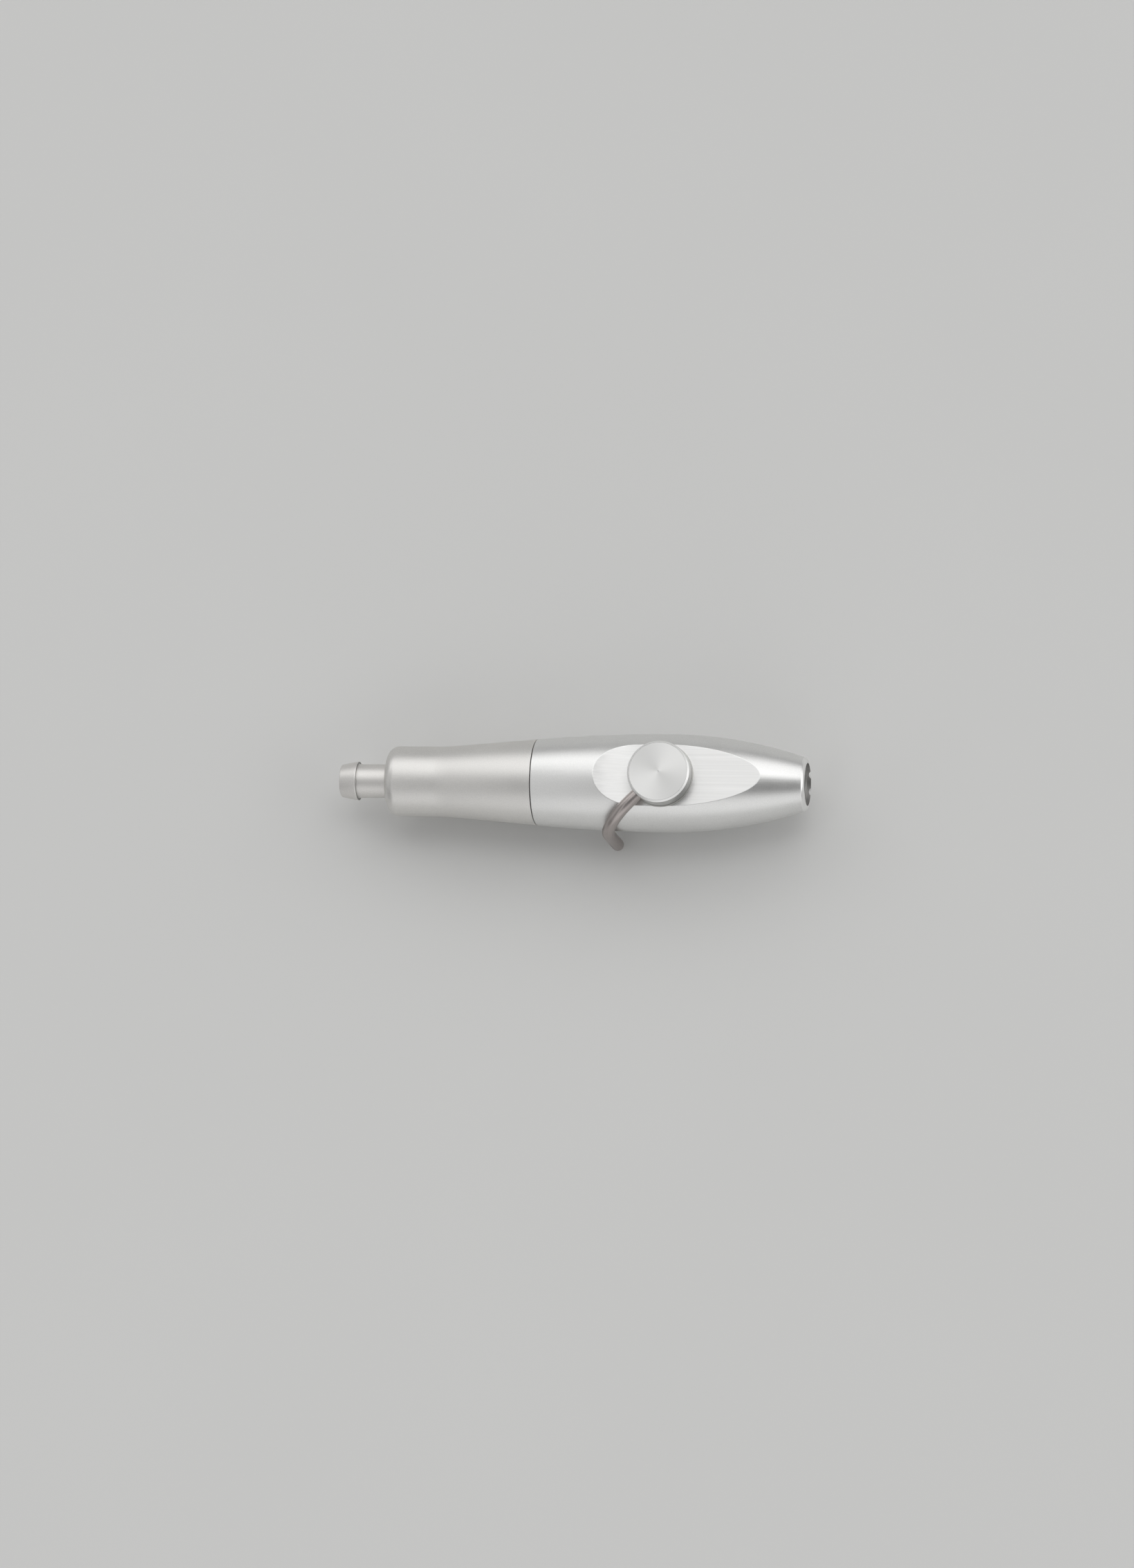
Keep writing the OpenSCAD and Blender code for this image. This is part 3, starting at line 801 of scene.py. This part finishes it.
def vector_node(tree, operation, inputs):
    """Vector output of a vector maths node."""
    return node(tree, "ShaderNodeVectorMath", inputs, operation=operation).outputs["Vector"]


def place_vector(tree, space):
    """Where a point is, in mm: on the piece, along a drawn rod, or by distance from the rotor's axis."""
    if space == "rod":
        return node(tree, "ShaderNodeAttribute", attribute_name="drawn").outputs["Vector"]
    spot = node(tree, "ShaderNodeTexCoord").outputs["Object"]
    spot = vector_node(tree, "SCALE", {0: spot, "Scale": 1 / MM})
    if space == "piece":
        return spot
    from_axis = vector_node(tree, "SUBTRACT", {0: spot, 1: (rotor_x, 0, 0)})
    level = vector_node(tree, "MULTIPLY", {0: from_axis, 1: (1, 1, 0)})
    radius = node(tree, "ShaderNodeVectorMath", {0: level}, operation="LENGTH").outputs["Value"]
    return node(tree, "ShaderNodeCombineXYZ", {"X": radius}).outputs[0]


def varied(tree, noise, amount, middle):
    """Lets a noise shift a number, or the output of the layers before, by the amount either way."""
    if not amount:
        return middle
    if isinstance(middle, bpy.types.NodeSocket):
        raised = math_node(tree, "MULTIPLY_ADD", noise, 2 * amount, middle)
        return math_node(tree, "SUBTRACT", raised, amount)
    return math_node(tree, "MULTIPLY_ADD", noise, 2 * amount, middle - amount)


def surface(name, colour, roughness, layers, metallic=1.0, anisotropic=0.0, tangent=None, specular=0.5):
    """Material whose layers of noise change its shade, roughness and relief.
    Each layer is (space, stretch per mm, detail, shade, roughness change, relief in mm)."""
    material = bpy.data.materials.new(name)
    material.use_nodes = True
    tree = material.node_tree
    shader = tree.nodes["Principled BSDF"]
    shader.inputs["Metallic"].default_value = metallic
    shader.inputs["Specular IOR Level"].default_value = specular
    shader.inputs["Anisotropic"].default_value = anisotropic
    shader.inputs["Anisotropic Rotation"].default_value = 0.25 if tangent else 0.0
    shade, rough, normal = 1, roughness, None
    for space, stretch, detail, shade_by, rough_by, relief in layers:
        spot = vector_node(tree, "MULTIPLY", {0: place_vector(tree, space), 1: stretch})
        texture = node(tree, "ShaderNodeTexNoise", {"Vector": spot, "Scale": 1.0, "Detail": detail})
        noise = texture.outputs["Fac"]
        shade = varied(tree, noise, shade_by, shade)
        rough = varied(tree, noise, rough_by, rough)
        if relief:
            depth = {"Height": noise, "Distance": relief * MM, "Strength": 1.0}
            bump = node(tree, "ShaderNodeBump", depth)
            if normal is not None:
                tree.links.new(normal, bump.inputs["Normal"])
            normal = bump.outputs[0]
    if isinstance(shade, bpy.types.NodeSocket):
        tinted = vector_node(tree, "SCALE", {0: colour, "Scale": shade})
        tree.links.new(tinted, shader.inputs["Base Color"])
    else:
        shader.inputs["Base Color"].default_value = (*colour, 1)
    if isinstance(rough, bpy.types.NodeSocket):
        tree.links.new(rough, shader.inputs["Roughness"])
    else:
        shader.inputs["Roughness"].default_value = rough
    if normal is not None:
        tree.links.new(normal, shader.inputs["Normal"])
    if tangent:
        direction = node(tree, "ShaderNodeTangent", direction_type="RADIAL", axis=tangent)
        tree.links.new(direction.outputs[0], shader.inputs["Tangent"])
    return material


CLOUD = ("piece", (0.12, 0.12, 0.12), 2, 0.04, 0.03, 0)
BLAST = ("piece", (4.5, 4.5, 4.5), 2, 0.1, 0.05, 0.002)
FINE_BLAST = ("piece", (12, 12, 12), 1, 0, 0, 0.0015)
PEEL = ("piece", (1.1, 1.6, 1.6), 1, 0.03, 0.04, 0.006)
TURNING_X = ("piece", (7, 0.05, 0.05), 2, 0.02, 0.04, 0.001)
TURNING_Z = ("piece", (0.05, 0.05, 7), 2, 0.02, 0.04, 0.001)

satin_body = surface("satin_body", (0.80, 0.80, 0.79), 0.38, [CLOUD, BLAST, FINE_BLAST])
milled_flat = surface(
    "milled_flat", (0.83, 0.83, 0.82), 0.40,
    [
        CLOUD,
        ("piece", (0.03, 2.2, 1), 3, 0.16, 0.08, 0.002),
        ("piece", (0.08, 8, 1), 2, 0.05, 0.04, 0.001),
    ],
)
# Dark bore metal: its low colour is painted shade inside the body's bores, the tail's inside and on the barb
# crest's rear face
bored_metal_painted_shade = surface("bored_metal_painted_shade", (0.30, 0.30, 0.29), 0.42, [TURNING_X, CLOUD])
# Darker than the outside metal: painted shade on the wall inside the mouth
socket_metal_painted_shade = surface("socket_metal_painted_shade", (0.56, 0.55, 0.54), 0.42, [TURNING_X, CLOUD])
lip_metal = surface("lip_metal", (0.90, 0.90, 0.89), 0.30, [CLOUD])
satin_tail = surface("satin_tail", (0.74, 0.73, 0.71), 0.44, [CLOUD, PEEL, BLAST])
blasted_tail = surface("blasted_tail", (0.74, 0.73, 0.71), 0.48, [CLOUD, BLAST, FINE_BLAST])
barb_metal = surface("barb_metal", (0.75, 0.735, 0.715), 0.50, [CLOUD, BLAST, TURNING_X])
turned_face = surface(
    "turned_face", (0.70, 0.70, 0.69), 0.36,
    [("radius", (9, 1, 1), 2, 0.02, 0.05, 0.0008), ("radius", (1.5, 1, 1), 1, 0.01, 0.02, 0), CLOUD],
    anisotropic=0.5, tangent="Z",
)
# Darker copy of the turned aluminium: painted shade on the knob's side wall and in the face groove, also used for
# the back cap
turned_side_painted_shade = surface("turned_side_painted_shade", (0.54, 0.54, 0.53), 0.32, [TURNING_Z, CLOUD])
# Lighter copy of the turned aluminium: painted highlight on the knob's chamfer
turned_edge_painted_highlight = surface("turned_edge_painted_highlight", (0.95, 0.95, 0.94), 0.50, [CLOUD])
drawn_steel = surface(
    "drawn_steel", (0.46, 0.42, 0.405), 0.36,
    [("rod", (0.1, 1.4, 1.4), 2, 0.26, 0.1, 0.002), ("rod", (0.6, 9, 9), 2, 0.15, 0.1, 0.001)],
)
ground_steel = surface("ground_steel", (0.62, 0.62, 0.61), 0.28, [TURNING_Z, CLOUD])
spring_steel = surface(
    "spring_steel", (0.45, 0.45, 0.44), 0.30,
    [CLOUD, ("piece", (3, 3, 3), 2, 0.05, 0.06, 0.001)],
)
washer_steel = surface("washer_steel", (0.50, 0.50, 0.48), 0.42, [TURNING_Z, CLOUD])
seal_rubber = surface(
    "seal_rubber", (0.022, 0.022, 0.022), 0.55,
    [("piece", (2.5, 2.5, 2.5), 3, 0.15, 0.08, 0.002)], metallic=0.0,
)
slip_plastic = surface(
    "slip_plastic", (0.80, 0.80, 0.76), 0.42,
    [("piece", (1.5, 1.5, 1.5), 2, 0.02, 0.06, 0.001)], metallic=0.0,
)

CARRIED = {
    "rotor_steel": ground_steel,
    "spring_steel": spring_steel,
    "seal_rubber": seal_rubber,
    "slip_plastic": slip_plastic,
}


def dress(piece, body, replaced, materials):
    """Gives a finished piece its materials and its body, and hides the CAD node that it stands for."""
    for material in materials:
        piece.data.materials.append(material)
    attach(piece, body)
    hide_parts(replaced)


body_finishes = [satin_body, milled_flat, bored_metal_painted_shade, socket_metal_painted_shade, lip_metal]
dress(valve_body(), "body", "valve_body", body_finishes)
dress(knob_washer(), "body", "knob_washer", [washer_steel])
dress(back_cap(), "body", "back_cap", [turned_side_painted_shade])
dress(control_knob(), "rotor", "control_knob", [turned_face, turned_side_painted_shade, turned_edge_painted_highlight])
dress(lever(), "rotor", "lever", [drawn_steel])
dress(tail_housing(), "tail", "tail_housing", [satin_tail, blasted_tail, bored_metal_painted_shade])
dress(hose_barb(), "barb", "hose_barb", [barb_metal, bored_metal_painted_shade])

for subpart in frame["record"]["subparts"]:
    carried = frame["nodes"][subpart["node"]]
    finish = CARRIED.get(subpart["material_slot"])
    if finish and not carried.hide_render:
        carried.data.materials.clear()
        carried.data.materials.append(finish)


# ---------------------------------------------------------------- floor, light and camera


def floor():
    """Pale sheet just under the object, in metres, large enough for any view."""
    half_size, gap = 3.0, 0.02 * MM
    level = min(cap_low.z, lever_low.z) * MM - gap
    work = bmesh.new()
    bmesh.ops.create_grid(work, x_segments=24, y_segments=24, size=half_size)
    bmesh.ops.translate(work, verts=work.verts, vec=(0, 0, level))
    mesh = bpy.data.meshes.new("floor")
    work.to_mesh(mesh)
    work.free()
    sheet = bpy.data.objects.new("floor", mesh)
    bpy.context.scene.collection.objects.link(sheet)
    paper = surface(
        "paper", (0.70, 0.70, 0.69), 0.8, [("piece", (0.02, 0.02, 0.02), 2, 0.01, 0, 0)],
        metallic=0.0, specular=0.2,
    )
    sheet.data.materials.append(paper)


def studio_world(base, cards):
    """Dim room with soft bright cards. Each card is (lean, side, radiance), with lean from straight up
    towards +Y and side towards +X. Both are (middle, half width, softness) in degrees."""
    world = bpy.data.worlds.new("studio")
    world.use_nodes = True
    tree = world.node_tree
    looking = node(tree, "ShaderNodeTexCoord").outputs["Generated"]
    part = node(tree, "ShaderNodeSeparateXYZ", {0: looking}).outputs
    lean = math_node(tree, "ARCTAN2", part["Y"], part["Z"])
    side = math_node(tree, "ARCSINE", part["X"])
    value = base
    for over, along, radiance in cards:
        shape = radiance
        for angle, (centre, half, soft) in ((lean, over), (side, along)):
            away = math_node(tree, "SUBTRACT", angle, math.radians(centre))
            fade = {
                "Value": math_node(tree, "ABSOLUTE", away),
                "From Min": math.radians(half + soft),
                "From Max": math.radians(half - soft),
                "To Min": 0.0,
                "To Max": shape,
            }
            faded = node(tree, "ShaderNodeMapRange", fade, interpolation_type="SMOOTHSTEP")
            shape = faded.outputs["Result"]
        value = math_node(tree, "ADD", shape, value)
    background = tree.nodes["Background"]
    tree.links.new(value, background.inputs["Color"])
    bpy.context.scene.world = world


def camera():
    """Long lens from almost overhead, leaning towards the nose and the lever's side."""
    lean_x, lean_y, roll = math.radians(11), math.radians(12.2), math.radians(0.43)
    target = Vector((-46.3, -0.27, -0.08)) * MM
    distance = 1.3
    down = math.cos(lean_x)
    away = Vector((math.sin(lean_x), -down * math.sin(lean_y), down * math.cos(lean_y)))
    up = Vector((0, math.cos(lean_y), math.sin(lean_y)))
    right = up.cross(away)
    turned = right * math.cos(roll) + up * math.sin(roll)
    lens = bpy.data.cameras.new("camera")
    lens.sensor_fit = "VERTICAL"
    lens.sensor_height = 36
    lens.lens = 153.7
    lens.clip_start = 0.05
    lens.clip_end = 20
    eye = bpy.data.objects.new("camera", lens)
    axes = Matrix((turned, away.cross(turned), away)).transposed().to_4x4()
    eye.matrix_world = Matrix.Translation(target + away * distance) @ axes
    bpy.context.scene.collection.objects.link(eye)
    bpy.context.scene.camera = eye


floor()
studio_world(0.12, [
    ((48, 21, 21), (-6, 46, 10), 1.3),  # long softbox behind the object
    ((18, 10, 6), (10, 24, 6), 1.5),  # strip light overhead
    ((-16, 26, 6), (-22, 8, 6), 1.0),  # wall beyond the tail
    ((-74, 30, 8), (6, 36, 18), 0.82),  # low card on the near side
    ((12, 68, 20), (70, 23, 8), 1.5),  # card beyond the nose
    ((0, 60, 20), (-68, 22, 8), 0.5),  # dimmer card beyond the tail
])
camera()
bpy.context.scene.view_settings.view_transform = "Standard"
bpy.context.scene.view_settings.look = "None"
